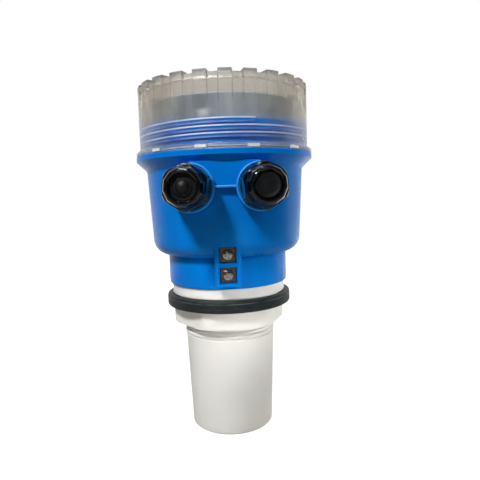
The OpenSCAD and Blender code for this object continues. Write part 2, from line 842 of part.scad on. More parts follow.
module cap() {
    color(cap_smoke) difference() {
        union() {
            rotate_extrude() cap_outline();
            around(lug_count / 2, 0, lug_turn - 90 + lug_step) lip_pad();
        }
        rotate_extrude() cap_hollow();
        for (i = [0:lug_count - 1]) rotate(i * lug_step) grip_hollow();
    }
}

module cap_seal() {
    color("#b8a79a") translate([0, 0, flange_top]) ring(cap_seal_r, cap_seal_in_r, cap_seal_h);
}

// Display

module key_places() {
    for (i = [0:3]) translate([(i - 1.5) * key_pitch, -key_front, 0]) children();
}

module window_hole(extra = 0) {
    translate([-window_w / 2 - extra, window_back - window_d / 2 - extra, 0])
        square([window_w + 2 * extra, window_d + 2 * extra]);
}

module display_can() {
    color(slate) difference() {
        union() {
            difference() {
                rotate_extrude()
                    polygon([[0, can_z], [can_r, can_z], [can_r - can_draft, can_top - 0.8],
                             [can_r - can_draft - 0.8, can_top], [0, can_top]]);
                rotate_extrude()
                    polygon([[0, can_z - cut], [can_r - can_wall, can_z - cut],
                             [can_r - can_wall - can_draft, can_plate_z], [0, can_plate_z]]);
            }
            around(4, column_at, column_turn) translate([0, 0, display_board_top])
                cylinder(r = 3, h = display_drop + cut, $fn = 48);
        }
        translate([0, 0, can_plate_z - cut]) linear_extrude(can_top_t + 2 * cut) window_hole();
        translate([0, 0, can_plate_z - cut]) key_places()
            cylinder(r = key_r + 0.3, h = can_top_t + 2 * cut, $fn = 48);
        around(4, column_at, column_turn) translate([0, 0, display_board_top - cut])
            cylinder(r = screw_shank_r + thread_gap, h = 6.5, $fn = 32);
    }
}

module display_board() {
    color(board_green) translate([0, 0, display_board_z]) difference() {
        cylinder(r = display_board_r, h = board_t);
        around(4, column_at, column_turn) translate([0, 0, -cut])
            cylinder(r = screw_shank_r + thread_gap, h = board_t + 2 * cut, $fn = 32);
    }
}

module pan_screw(len) {
    translate([0, 0, -len]) cylinder(r = screw_shank_r, h = len, $fn = 32);
    rotate_extrude($fn = 32)
        polygon(concat([[0, 0]], [[screw_head_r, 0]],
            arc([screw_head_r - 1, screw_head_h - 1], 1, 0, 90, 4), [[0, screw_head_h]]));
}

module display_screws() {
    color(steel) around(4, column_at, column_turn) translate([0, 0, display_board_z])
        mirror([0, 0, 1]) pan_screw(display_screw_len);
}

module lcd_panel() {
    color("#8d9a6b") translate([0, 0, display_board_top]) linear_extrude(display_drop)
        window_hole(lcd_margin);
}

module display_window() {
    color([0.85, 0.9, 0.88, 0.4]) translate([0, 0, can_plate_z])
        linear_extrude(can_top_t + fascia_t) window_hole(-thread_gap);
}

module display_fascia() {
    color("#c9ced2") translate([0, 0, fascia_z]) difference() {
        cylinder(r = fascia_r, h = fascia_t);
        translate([0, 0, -cut]) linear_extrude(fascia_t + 2 * cut) window_hole();
        translate([0, 0, -cut]) key_places()
            cylinder(r = key_r + 0.3, h = fascia_t + 2 * cut, $fn = 48);
    }
}

module key_switch(i) {
    color("#2a2c30") translate([(i - 2.5) * key_pitch, -key_front, display_board_top]) {
        translate([-switch_w / 2, -switch_w / 2, 0]) cube([switch_w, switch_w, switch_h]);
    }
}

module key(i) {
    foot = display_board_top + switch_h + key_travel + key_foot_gap;
    flange_top_z = can_plate_z - 0.05;
    color("#3b6fb5") translate([(i - 2.5) * key_pitch, -key_front, 0]) rotate_extrude($fn = 48)
        polygon([[0, foot], [1.6, foot], [1.6, flange_top_z - key_flange_h],
                 [key_flange_r, flange_top_z - key_flange_h], [key_flange_r, flange_top_z],
                 [key_r, flange_top_z], [key_r, fascia_z + fascia_t + key_out - 0.5],
                 [key_r - 0.5, fascia_z + fascia_t + key_out], [0, fascia_z + fascia_t + key_out]]);
}

module key_switch_1() { key_switch(1); }
module key_switch_2() { key_switch(2); }
module key_switch_3() { key_switch(3); }
module key_switch_4() { key_switch(4); }
module key_1() { key(1); }
module key_2() { key(2); }
module key_3() { key(3); }
module key_4() { key(4); }

// Main board

module main_board() {
    color(board_green) translate([0, 0, board_z]) difference() {
        cylinder(r = board_r, h = board_t);
        around(4, post_at, post_turn) translate([0, 0, -cut])
            cylinder(r = screw_shank_r + thread_gap, h = board_t + 2 * cut, $fn = 32);
    }
}

module board_screws() {
    color(steel) around(4, post_at, post_turn) translate([0, 0, board_top])
        pan_screw(screw_len - 0.5);
}

module pole_places() {
    for (i = [0:pole_count - 1])
        translate([(i - (pole_count - 1) / 2) * pole_pitch, 0, 0]) children();
}

module terminal_block() {
    entry_w = 3.4;
    entry_h = 3.2;
    color("#2f8f57") translate([0, terminal_y, board_top]) difference() {
        translate([terminal_w / 2, 0, 0]) rotate([90, 0, -90]) linear_extrude(terminal_w)
            polygon([[0, 0], [-terminal_d, 0], [-terminal_d, terminal_h * 0.7],
                     [-terminal_d * 0.75, terminal_h], [-terminal_d * 0.2, terminal_h],
                     [0, terminal_h * 0.75]]);
        pole_places() translate([-entry_w / 2, -cut, 2]) cube([entry_w, 6 + cut, entry_h]);
        pole_places() translate([0, terminal_d / 2, terminal_h - 2.4])
            cylinder(r = well_r, h = 6, $fn = 32);
    }
}

module terminal_screws() {
    color(steel) translate([0, terminal_y + terminal_d / 2, board_top + terminal_h - 2.4])
        pole_places() difference() {
            cylinder(r = well_r - thread_gap, h = 1.6, $fn = 32);
            translate([0, 0, 1.6]) cube([2 * well_r, 0.6, 1.2], center = true);
        }
}

module block_on_board(at, size, tint) {
    color(tint) translate([at[0] - size[0] / 2, at[1] - size[1] / 2, board_top]) cube(size);
}

module power_module() { block_on_board(module_at, module_size, "#1d1f23"); }
module relay_left() { block_on_board([-relay_x, 0], relay_size, "#2f62b8"); }
module relay_right() { block_on_board([relay_x, 0], relay_size, "#2f62b8"); }

module capacitor(x) {
    color("#27304a") translate([x, capacitor_y, board_top])
        cylinder(r = capacitor_r, h = capacitor_h, $fn = 48);
}

module capacitor_left() { capacitor(capacitor_x[0]); }
module capacitor_right() { capacitor(capacitor_x[1]); }

module header_block(z) {
    color("#303236") translate([-ribbon_w / 2 - 1.5, ribbon_y - header_d / 2, z])
        cube([ribbon_w + 3, header_d, header_h]);
}

module ribbon_header_lower() { header_block(board_top); }
module ribbon_header_upper() { header_block(display_board_z - header_h); }

module ribbon_cable() {
    low = board_top + header_h;
    high = display_board_z - header_h;
    mid = (low + high) / 2;
    sag = 6;
    color("#9aa3ad") rotate([90, 0, 90]) translate([0, 0, -ribbon_w / 2]) linear_extrude(ribbon_w)
        polygon([[ribbon_y - ribbon_t / 2, low], [ribbon_y + ribbon_t / 2, low],
                 [ribbon_y + ribbon_t / 2, low + 4], [ribbon_y - sag + ribbon_t / 2, mid],
                 [ribbon_y + ribbon_t / 2, high - 4], [ribbon_y + ribbon_t / 2, high],
                 [ribbon_y - ribbon_t / 2, high], [ribbon_y - ribbon_t / 2, high - 4],
                 [ribbon_y - sag - ribbon_t / 2, mid], [ribbon_y - ribbon_t / 2, low + 4]]);
}

housing();
sensor_body();
mounting_gasket();
sensor_o_ring();
sensor_locknut();
matching_layer();
piezo_disc();
foam_sleeve();
backing_block();
temperature_sensor();
potting_compound();
sensor_lead();
lead_plug();
main_board();
board_screws();
terminal_block();
terminal_screws();
power_module();
relay_left();
relay_right();
capacitor_left();
capacitor_right();
ribbon_header_lower();
ribbon_header_upper();
ribbon_cable();
display_can();
display_board();
display_screws();
lcd_panel();
display_window();
display_fascia();
key_switch_1();
key_switch_2();
key_switch_3();
key_switch_4();
key_1();
key_2();
key_3();
key_4();
ground_insert_upper();
ground_insert_lower();
ground_plate_upper();
ground_plate_lower();
ground_screw_upper();
ground_screw_lower();
gland_left_body();
gland_left_washer();
gland_left_seal();
gland_left_plug();
gland_left_nut();
gland_right_body();
gland_right_washer();
gland_right_seal();
gland_right_disc();
gland_right_nut();
cap_seal();
cap();
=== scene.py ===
import json
import math

import bmesh
import bpy
from mathutils import Matrix, Vector


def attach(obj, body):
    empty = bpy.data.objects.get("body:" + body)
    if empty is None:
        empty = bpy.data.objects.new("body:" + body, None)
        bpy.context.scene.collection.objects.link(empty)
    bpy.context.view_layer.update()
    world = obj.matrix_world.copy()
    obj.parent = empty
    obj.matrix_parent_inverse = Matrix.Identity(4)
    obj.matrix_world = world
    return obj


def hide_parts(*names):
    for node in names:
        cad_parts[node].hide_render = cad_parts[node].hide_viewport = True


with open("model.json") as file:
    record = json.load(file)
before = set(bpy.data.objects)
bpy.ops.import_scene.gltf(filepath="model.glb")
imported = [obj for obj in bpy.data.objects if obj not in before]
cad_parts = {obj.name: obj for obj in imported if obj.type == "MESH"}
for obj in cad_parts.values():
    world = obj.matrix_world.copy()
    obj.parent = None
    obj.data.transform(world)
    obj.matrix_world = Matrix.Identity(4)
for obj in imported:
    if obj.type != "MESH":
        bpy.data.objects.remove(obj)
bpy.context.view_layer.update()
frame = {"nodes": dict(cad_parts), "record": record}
slot_of = {part["node"]: part["material_slot"] for part in frame["record"]["subparts"]}

MM = 0.001
WHITE, BLACK = (1, 1, 1, 1), (0, 0, 0, 1)

# What several pieces share, in millimetres and degrees. Angles run from the front to the right.
SIDES = ((-1, "left"), (1, "right"))
GLAND_AT = (20.5, -57, 163.5)     # middle of the right boss's face
GLAND_TOE = 5                     # how far each gland turns outwards
LUG_FIRST, LUG_PITCH = 1.8, 15    # the middles of the grip lugs round the cap
THREAD_PITCH = 4.2                # the thread between housing and cap
KEY_Y, KEY_PITCH = -22, 14        # the row of keys under the display


# ---- Finishes ----

def srgb(r, g, b):
    """A colour given in the 0 to 255 steps of a screen, as the shader wants it."""
    parts = [c / 255 for c in (r, g, b)]
    return tuple(c / 12.92 if c <= 0.04045 else ((c + 0.055) / 1.055) ** 2.4 for c in parts) + (1,)


def add_node(tree, kind, settings=None, inputs=None):
    """A node of that kind: its settings first, then the values or links of its sockets."""
    node = tree.nodes.new(kind)
    for key, value in (settings or {}).items():
        setattr(node, key, value)
    for key, value in (inputs or {}).items():
        if isinstance(value, bpy.types.NodeSocket):
            tree.links.new(value, node.inputs[key])
        else:
            node.inputs[key].default_value = value
    return node


class Value:
    """Something that varies over a surface. Python's operators on a number add Math nodes."""

    def __init__(self, shader, socket):
        self.shader, self.socket = shader, socket

    def math(self, operation, *others, swap=False):
        terms = [self, *others]
        if swap:
            terms.reverse()
        return self.shader.add("Math", {"operation": operation}, dict(enumerate(terms)))

    def __add__(self, other):
        return self.math("ADD", other)

    def __sub__(self, other):
        return self.math("SUBTRACT", other)

    def __rsub__(self, other):
        return self.math("SUBTRACT", other, swap=True)

    def __mul__(self, other):
        return self.math("MULTIPLY", other)

    def __truediv__(self, other):
        return self.math("DIVIDE", other)

    def __pow__(self, other):
        return self.math("POWER", other)

    __radd__ = __add__
    __rmul__ = __mul__

    def step(self, low, high, start=0.0, end=1.0):
        """Goes smoothly from start to end while this goes from low to high."""
        settings = {"interpolation_type": "SMOOTHSTEP"}
        return self.shader.add("MapRange", settings, {0: self, 1: low, 2: high, 3: start, 4: end})

    def band(self, middle, half, soft):
        """One inside a band round the middle, nothing outside it."""
        away = (self - middle).math("ABSOLUTE")
        return away.step(half, half + soft, 1.0, 0.0)


class Shader:
    """The node tree of a material or of the world."""

    def __init__(self, owner):
        owner.use_nodes = True
        self.tree = owner.node_tree
        self.tree.nodes.clear()

    def add(self, kind, settings=None, inputs=None, out=0):
        """Adds a node and gives one of its outputs."""
        sockets = {key: value.socket if isinstance(value, Value) else value
                   for key, value in (inputs or {}).items()}
        node = add_node(self.tree, "ShaderNode" + kind, settings, sockets)
        return Value(self, node.outputs[out])

    def mix(self, share, first, second):
        """From the first colour to the second as share goes from nothing to one.

        A colour of three numbers is in the steps of a screen."""
        pair = [srgb(*colour) if isinstance(colour, tuple) and len(colour) == 3 else colour
                for colour in (first, second)]
        return self.add("Mix", {"data_type": "RGBA"}, {0: share, 6: pair[0], 7: pair[1]}, out=2)

    def blend(self, share, first, second):
        """From the first surface to the second as share goes from nothing to one."""
        return self.add("MixShader", inputs={0: share, 1: first, 2: second})

    def rays(self, *kinds):
        """One for rays of these kinds, nothing for the others."""
        shares = [self.add("LightPath", out=f"Is {kind} Ray") for kind in kinds]
        total = shares[0]
        for share in shares[1:]:
            total = total.math("MAXIMUM", share)
        return total

    def end(self, surface, output="OutputMaterial"):
        add_node(self.tree, "ShaderNode" + output, inputs={"Surface": surface.socket})


class Finish(Shader):
    """A material whose colour, gloss and relief come from nodes on Object coordinates."""

    def __init__(self, name):
        self.material = bpy.data.materials.new(name)
        super().__init__(self.material)
        self.here = self.add("TexCoord", out="Object")

    def axis(self, letter):
        """One of the Object coordinates, in metres."""
        return self.add("SeparateXYZ", inputs={0: self.here}, out=letter)

    def across(self):
        """Distance from the gauge's upright axis, in metres."""
        x, y = self.axis("X"), self.axis("Y")
        return (x * x + y * y) ** 0.5

    def around(self):
        """Angle round the upright axis from the back to the right, in degrees."""
        return self.axis("X").math("ARCTAN2", self.axis("Y")) * (180 / math.pi)

    def noise(self, scale, detail=2.0, stretch=None, rough=0.5):
        place = self.here
        if stretch:
            place = self.add("Mapping", inputs={"Vector": self.here, "Scale": stretch})
        sockets = {"Vector": place, "Scale": scale, "Detail": detail, "Roughness": rough}
        return self.add("TexNoise", inputs=sockets)

    def cells(self, scale):
        return self.add("TexVoronoi", inputs={"Vector": self.here, "Scale": scale})

    def bump(self, height, depth):
        return self.add("Bump", inputs={"Height": height, "Distance": depth})

    def done(self, see_through=None, tint=(250, 250, 249), **sockets):
        """Ends the material in one plain surface shader. An underscore stands for a space.

        A see-through finish lets that share of the light straight past, tinted."""
        named = {key.replace("_", " "): value for key, value in sockets.items()}
        surface = self.add("BsdfPrincipled", inputs=named)
        if see_through is not None:
            clear = self.add("BsdfTransparent", inputs={"Color": srgb(*tint)})
            surface = self.blend(see_through, surface, clear)
        self.end(surface)
        return self.material


def moulded(name, colour, shade, gloss, grain):
    """Moulded plastic: a slow drift of colour, a fine grain and an uneven gloss."""
    f = Finish(name)
    drift = f.noise(40, 3)
    fine = f.noise(grain)
    base = f.mix(drift.step(0.3, 0.7), colour, shade)
    rough = gloss + (drift - 0.5) * 0.12 + (fine - 0.5) * 0.06
    return f.done(Base_Color=base, Roughness=rough, Normal=f.bump(fine, 0.02 * MM))


def metal(name, colour, wear_and_sheen, gloss, scale, relief):
    """Turned or pressed metal with dull spots."""
    f = Finish(name)
    turn = f.noise(scale, 4)
    spots = f.noise(scale * 3, 3)
    base = f.mix(spots.step(0.4, 0.75), colour, wear_and_sheen)
    rough = gloss + (turn - 0.5) * 0.25
    return f.done(Base_Color=base, Roughness=rough, Metallic=1.0, Normal=f.bump(turn, relief))


def rubber(name, dark, light, shine):
    """Black rubber with a little dust."""
    f = Finish(name)
    dust = f.noise(160, 5, stretch=(1, 1, 3), rough=0.65)
    fine = f.noise(1800)
    base = f.mix(dust.step(0.42, 0.75), dark, light)
    rough = 0.52 + (dust - 0.5) * 0.3
    return f.done(Base_Color=base, Roughness=rough, Normal=f.bump(fine, 0.04 * MM), IOR=shine)


def housing_finish():
    """Blue moulded plastic whose gloss varies in flow lines down the wall."""
    f = Finish("housing_blue")
    drift = f.noise(22, 3)
    fine = f.noise(1400)
    flow = f.noise(60, stretch=(1, 1, 0.15))
    base = f.mix(drift.step(0.35, 0.7), (0, 116, 206), (0, 109, 195))
    rough = 0.29 + (flow - 0.5) * 0.16 + (fine - 0.5) * 0.08
    return f.done(Base_Color=base, Roughness=rough, IOR=1.25, Specular_Tint=(0.4, 0.8, 1, 1),
                  Normal=f.bump(fine * 0.6 + flow * 0.8, 0.03 * MM))


def thread_finish():
    """The housing's blue, with a painted highlight along the crest of its thread."""
    f = Finish("thread_blue")
    drift = f.noise(30)
    fine = f.noise(1400)
    # Painted highlight: a paler blue along the thread's crest.
    crest = f.across().step(52.4 * MM, 52.75 * MM) * drift.step(0.3, 0.65)
    base = f.mix(crest * 0.75, (0, 108, 214), (176, 206, 244))
    return f.done(Base_Color=base, Roughness=0.3 + (fine - 0.5) * 0.1, IOR=1.25,
                  Normal=f.bump(fine, 0.02 * MM))


def sensor_finish():
    """White moulded plastic that lets a little light in."""
    f = Finish("sensor_white")
    drift = f.noise(30, 3)
    fine = f.noise(1100)
    flow = f.noise(70, 3, stretch=(1, 1, 0.2))
    base = f.mix(drift.step(0.3, 0.72), (238, 237, 234), (231, 230, 226))
    return f.done(Base_Color=base, Roughness=0.4 + (flow - 0.5) * 0.2, IOR=1.48,
                  Normal=f.bump(flow * 0.8 + fine * 0.4, 0.04 * MM), Subsurface_Weight=0.3,
                  Subsurface_Radius=(1, 0.95, 0.9), Subsurface_Scale=1.5 * MM)


def gasket_finish():
    """Black rubber with a little dust and a painted highlight line near the top of its rim."""
    f = Finish("gasket_rubber")
    dust = f.noise(160, 5, stretch=(1, 1, 3), rough=0.65)
    wear_and_sheen = f.noise(60, 3, stretch=(1, 1, 0.2))
    fine = f.noise(1800)
    # Painted highlight: a paler line along the rim's upper groove, broken up by noise.
    line = f.axis("Z").band(91.5 * MM, 0.12 * MM, 0.25 * MM) * wear_and_sheen.step(0.38, 0.62)
    base = f.mix(dust.step(0.42, 0.75), (17, 23, 27), (35, 42, 46))
    base = f.mix(line * 0.55, base, (96, 106, 112))
    rough = 0.5 + (dust - 0.5) * 0.3
    return f.done(Base_Color=base, Roughness=rough, Normal=f.bump(fine, 0.04 * MM), IOR=1.42)


def seal_finish():
    """The ring under the cap: milky silicone with a dark line round its edge."""
    f = Finish("seal_silicone")
    dust = f.noise(240, 4)
    line = f.axis("Z").band(186.5 * MM, 0.2 * MM, 0.2 * MM)
    base = f.mix(dust.step(0.4, 0.75), (196, 196, 198), (176, 176, 178))
    base = f.mix(line * 0.8, base, (84, 74, 84))
    return f.done(Base_Color=base, Roughness=0.45 + (dust - 0.5) * 0.2,
                  Normal=f.bump(dust, 0.05 * MM))


def gland_finish():
    """Glossy black nylon."""
    f = Finish("gland_black")
    drift = f.noise(140, 4)
    fine = f.noise(1500)
    base = f.mix(drift.step(0.35, 0.7), (2, 4, 8), (5, 8, 13))
    return f.done(Base_Color=base, Roughness=0.16 + (drift - 0.5) * 0.1, IOR=1.42,
                  Normal=f.bump(drift + fine * 0.3, 0.03 * MM))


def cap_finish():
    """Smoky clear plastic: hazy where it is seen edge on, with painted shade in its upper inside
    corner, a painted blue glow of the thread on its lower wall, and a line of light along the
    sides of each lug."""
    f = Finish("cap_clear")
    z, r = f.axis("Z"), f.across()
    flow = f.noise(34, stretch=(1, 1, 0.5))
    haze = f.noise(220, 4)
    milk = haze.step(0.45, 0.8)
    edge = f.add("LayerWeight", inputs={"Blend": 0.45}, out="Facing")
    top = z.step(226.2 * MM, 226.8 * MM) * r.step(48 * MM, 49.5 * MM, 1.0, 0.0)
    # Painted shade darkens the upper inside corner, and a painted blue glow of the thread tints
    # the lower wall.
    corner = z.step(223.5 * MM, 226.5 * MM) * r.step(49 * MM, 50.5 * MM)
    thread = z.step(203 * MM, 208 * MM, 1.0, 0.0)

    # Degrees from the middle of the nearest lug. The angle here starts at the back.
    first = (180 - LUG_FIRST) % LUG_PITCH
    lug = (f.around() + (360 - first)) / LUG_PITCH
    off = (lug.math("FRACT") - 0.5).math("ABSOLUTE") * -LUG_PITCH + LUG_PITCH / 2
    wall = z.step(211 * MM, 216 * MM) * r.step(50 * MM, 51.5 * MM)
    sides = off.band(4.3, 0.16, 0.2) * wall * f.noise(30, 1).step(0.3, 0.65, 0.15, 0.95)

    base = f.mix(haze.step(0.3, 0.75), (180, 169, 153), (168, 157, 140))
    # Painted blue glow of the thread on the lower wall, then painted shade in the upper inside
    # corner.
    base = f.mix(thread * 0.45, base, (92, 146, 222))
    base = f.mix(corner * 0.6, base, (120, 117, 110))
    rough = 0.24 + milk * 0.02 + z.step(224 * MM, 226 * MM) * 0.2
    clear = (0.95 - edge * 1.04 - milk * 0.06 + top * 0.25 - corner * 0.3
             - sides * (1 - edge) * 0.35)
    clear = clear.math("MAXIMUM", f.rays("Shadow") * 0.88)
    return f.done(clear, (249, 249, 248), Base_Color=base, Roughness=rough, IOR=1.45,
                  Normal=f.bump(flow, 0.04 * MM), Transmission_Weight=0.72)


def thread_highlight_finish():
    """The cap's thread ridge: milky plastic whose near-white colour is a painted highlight along
    the crest of its thread.
    """
    f = Finish("cap_thread_highlight")
    haze = f.noise(400, 3)
    drift = f.noise(26)
    # Painted highlight: near-white lines of light along the cap's thread.
    base = f.mix(haze.step(0.3, 0.7), (240, 246, 255), (226, 236, 252))
    clear = 0.1 + drift.step(0.35, 0.65) * 0.4
    clear = clear.math("MAXIMUM", f.rays("Shadow") * 0.7)
    return f.done(clear, Base_Color=base, Roughness=0.3 + (haze - 0.5) * 0.1,
                  Normal=f.bump(haze, 0.03 * MM))


def window_finish():
    """Clear pane with faint smears."""
    f = Finish("window_clear")
    smear = f.noise(120, 3, stretch=(1, 3, 1)).step(0.4, 0.8)
    base = f.mix(smear, (240, 245, 243), (230, 236, 234))
    return f.done(Base_Color=base, Roughness=0.03 + smear * 0.05, IOR=1.49,
                  Transmission_Weight=1.0)


def can_finish():
    """Slate grey plastic as it shows through the cap, with upright streaks of painted light from
    the cap's lugs.
    """
    f = Finish("can_slate")
    drift = f.noise(26, 3)
    # Painted light: paler upright streaks stand for light that the cap's lugs bend onto the can.
    painted_light_streak = f.noise(50, 3, stretch=(1, 1, 0.06))
    base = f.mix(painted_light_streak.step(0.32, 0.68), (98, 110, 125), (156, 165, 174))
    return f.done(Base_Color=base, Roughness=0.42 + (drift - 0.5) * 0.15, IOR=1.5,
                  Normal=f.bump(painted_light_streak, 0.05 * MM))


def fascia_finish():
    """Pale grey foil, printed with a ring near its edge and a dark frame round the display."""
    f = Finish("fascia_grey")
    ink = (38, 62, 96)
    fine = f.noise(1500)
    ring = f.across().band(43.9 * MM, 0.25 * MM, 0.06 * MM)
    inside = (f.axis("X").band(0, 25.4 * MM, 0.1 * MM)
              * f.axis("Y").band(8 * MM, 14.9 * MM, 0.1 * MM))
    base = f.mix(fine.step(0.2, 0.8), (196, 202, 206), (188, 194, 199))
    base = f.mix(inside, base, ink)
    base = f.mix(ring, base, ink)
    return f.done(Base_Color=base, Roughness=0.38 + (fine - 0.5) * 0.1,
                  Normal=f.bump(fine, 0.02 * MM))


def board_finish():
    """Green circuit board with tracks in some places and tinned holes."""
    f = Finish("board_green")
    x, y = f.axis("X"), f.axis("Y")
    tracks = (x * 2600 + (y * 90).math("SINE") * 3).math("SINE").step(0.55, 0.75)
    patch = f.noise(60, 0).step(0.46, 0.5)
    holes = f.cells(260).step(0.16, 0.2, 1.0, 0.0)
    base = f.mix(tracks * patch, (20, 88, 54), (38, 120, 74))
    base = f.mix(holes * 0.8, base, (190, 176, 120))
    return f.done(Base_Color=base, Roughness=0.32 + patch * 0.1,
                  Normal=f.bump(tracks * patch, 0.03 * MM))


def lcd_finish():
    """The display's grey-green glass with its fine grid."""
    f = Finish("lcd_glass")
    x, y = f.axis("X"), f.axis("Y")
    dots = ((x * 9000).math("SINE") * (y * 9000).math("SINE")).step(0.2, 0.8)
    base = f.mix(dots * 0.25, (158, 170, 128), (140, 152, 112))
    return f.done(Base_Color=base, Roughness=0.25 + dots * 0.05, Normal=f.bump(dots, 0.01 * MM))


def ribbon_finish():
    """Grey ribbon cable: one ridge for each wire, the first wire red."""
    f = Finish("ribbon_grey")
    x = f.axis("X")
    wire_pitch = 1.27 * MM
    wires = (x * 2 * math.pi / wire_pitch).math("SINE")
    first = x.step(-8.9 * MM, -8.7 * MM, 1.0, 0.0)
    base = f.mix(wires.step(-0.9, -0.4), (120, 126, 132), (168, 174, 180))
    base = f.mix(first, base, (176, 52, 46))
    return f.done(Base_Color=base, Roughness=0.45 + wires * 0.04, Normal=f.bump(wires, 0.2 * MM))


def foam_finish():
    """Open-celled foam."""
    f = Finish("foam")
    cells = f.cells(900)
    base = f.mix(cells.step(0.1, 0.6), (120, 114, 104), (160, 152, 140))
    return f.done(Base_Color=base, Roughness=0.9 - cells * 0.1, Normal=f.bump(cells, 0.4 * MM))


finishes = {
    "housing_blue": housing_finish(),
    "thread_blue": thread_finish(),
    "sensor_white": sensor_finish(),
    "gasket_rubber": gasket_finish(),
    "seal_silicone": seal_finish(),
    "gland_black": gland_finish(),
    "cap_clear": cap_finish(),
    "cap_thread_highlight": thread_highlight_finish(),
    "window_clear": window_finish(),
    "can_slate": can_finish(),
    "fascia_grey": fascia_finish(),
    "board_green": board_finish(),
    "lcd_glass": lcd_finish(),
    "ribbon_grey": ribbon_finish(),
    "foam": foam_finish(),
}

# The two colours between which each plastic drifts, its gloss and its grain.
plastics = {
    # A paler blue for the edge beads: a painted highlight along their edges.
    "edge_blue": ((34, 144, 234), (16, 130, 222), 0.42, 900),
    "cap_pads": ((232, 230, 228), (214, 212, 210), 0.3, 900),
    "key_blue": ((38, 84, 150), (33, 76, 138), 0.4, 1200),
    "mark_white": ((226, 230, 234), (214, 219, 224), 0.45, 1500),
    "terminal_green": ((44, 140, 88), (36, 124, 78), 0.42, 1000),
    "part_black": ((26, 27, 30), (36, 37, 41), 0.45, 1500),
    "relay_blue": ((44, 92, 178), (38, 82, 160), 0.36, 1200),
    "capacitor_can": ((36, 44, 72), (48, 56, 86), 0.3, 800),
    "plug_cream": ((232, 228, 218), (222, 217, 204), 0.45, 900),
    "piezo_ceramic": ((206, 202, 194), (188, 183, 172), 0.6, 2200),
    "matching_resin": ((204, 194, 158), (186, 174, 136), 0.5, 1600),
    "damping_resin": ((56, 60, 66), (72, 74, 78), 0.55, 700),
    "probe_epoxy": ((38, 56, 88), (46, 66, 98), 0.25, 900),
}
# Each metal's colour, its dull colour, its gloss, the scale of its marks and their depth.
metals = {
    "screw_steel": ((196, 190, 180), (150, 138, 120), 0.28, 420, 0.03 * MM),
    "insert_brass": ((206, 170, 96), (168, 132, 70), 0.3, 600, 0.03 * MM),
    "plate_nickel": ((122, 104, 94), (58, 46, 44), 0.24, 600, 0.08 * MM),
    "head_nickel": ((214, 210, 204), (96, 88, 82), 0.1, 800, 0.12 * MM),
}
# Each rubber's colour, the colour of its dust and how strongly it shines.
rubbers = {
    "rubber": ((19, 25, 29), (37, 44, 48), 1.42),
    "seal_black": ((1, 3, 6), (4, 7, 11), 1.28),
    "plug_black": ((1, 3, 6), (5, 8, 12), 1.36),
}
for make, looks in ((moulded, plastics), (metal, metals), (rubber, rubbers)):
    for name, look in looks.items():
        finishes[name] = make(name, *look)


# ---- Meshes ----

def in_scene(name, data):
    obj = bpy.data.objects.new(name, data)
    bpy.context.scene.collection.objects.link(obj)
    return obj


def new_object(name, mesh, finish):
    mesh.materials.clear()
    mesh.materials.append(finishes[finish])
    return in_scene(name, mesh)


def placed(obj, body="root", replaces=()):
    """Hands a finished piece to the frame."""
    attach(obj, body)
    if replaces:
        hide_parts(*replaces)


def settle(obj):
    """Turns an object with its modifiers into a plain mesh."""
    graph = bpy.context.evaluated_depsgraph_get()
    mesh = bpy.data.meshes.new_from_object(obj.evaluated_get(graph), preserve_all_data_layers=True,
                                           depsgraph=graph)
    obj.modifiers.clear()
    obj.data = mesh


def ease_edges(obj, width, segments, angle):
    """Rounds the edges at which the surface turns by more than the angle."""
    obj.data.shade_smooth()
    bevel = obj.modifiers.new("edges", "BEVEL")
    bevel.width = width
    bevel.segments = segments
    bevel.limit_method = "ANGLE"
    bevel.angle_limit = math.radians(angle)
    bevel.harden_normals = True
    settle(obj)


def smooth_faces(obj, sharp):
    """Shades a piece smooth, except where it turns by more than that angle."""
    obj.data.shade_smooth()
    obj.data.set_sharp_from_angle(angle=math.radians(sharp))


def mesh_from(name, bm):
    """A bmesh as a plain mesh, its faces all outwards."""
    mesh = bpy.data.meshes.new(name)
    bmesh.ops.recalc_face_normals(bm, faces=bm.faces)
    bm.to_mesh(mesh)
    bm.free()
    return mesh


def clean_copy(node):
    """The node's solid as one joined mesh, its flat faces whole again."""
    bm = bmesh.new()
    bm.from_mesh(frame["nodes"][node].data)
    bmesh.ops.remove_doubles(bm, verts=bm.verts, dist=1e-6)
    bmesh.ops.dissolve_limit(bm, angle_limit=math.radians(0.5), verts=bm.verts, edges=bm.edges)
    bm.verts.index_update()
    mesh = bpy.data.meshes.new(node + "_shape")
    mesh.from_pydata([v.co.copy() for v in bm.verts], [],
                     [[v.index for v in face.verts] for face in bm.faces])
    bm.free()
    return mesh


def rounded(node, width):
    """Stands for a CAD node, with the small rounding that its mould leaves on each edge."""
    slot = slot_of[node]
    obj = new_object(node + "_moulded", clean_copy(node), slot)
    ease_edges(obj, width, 3, 28)
    placed(obj, replaces=[node])


def solid(name, slot, bm, edge=0.0, segments=2, body="root", replaces=(), finish=None):
    """A piece from a bmesh, its sharp edges eased by that width."""
    obj = new_object(name, mesh_from(name, bm), finish or slot)
    if edge:
        ease_edges(obj, edge, segments, 30)
    placed(obj, body, replaces)


def add_block(bm, low, high, matrix=Matrix()):
    """Adds a box between two corners, in millimetres."""
    middle = (Vector(low) + Vector(high)) / 2 * MM
    size = (Vector(high) - Vector(low)) * MM
    place = matrix @ Matrix.Translation(middle) @ Matrix.Diagonal((*size, 1))
    bmesh.ops.create_cube(bm, size=1, matrix=place)


def cut_away(obj, bm):
    """Cuts the shape in a bmesh out of a piece."""
    tool = in_scene("cutter", mesh_from("cutter", bm))
    cut = obj.modifiers.new("cut", "BOOLEAN")
    cut.object = tool
    cut.operation = "DIFFERENCE"
    cut.solver = "EXACT"
    cut.use_self = True
    settle(obj)
    bpy.data.objects.remove(tool)


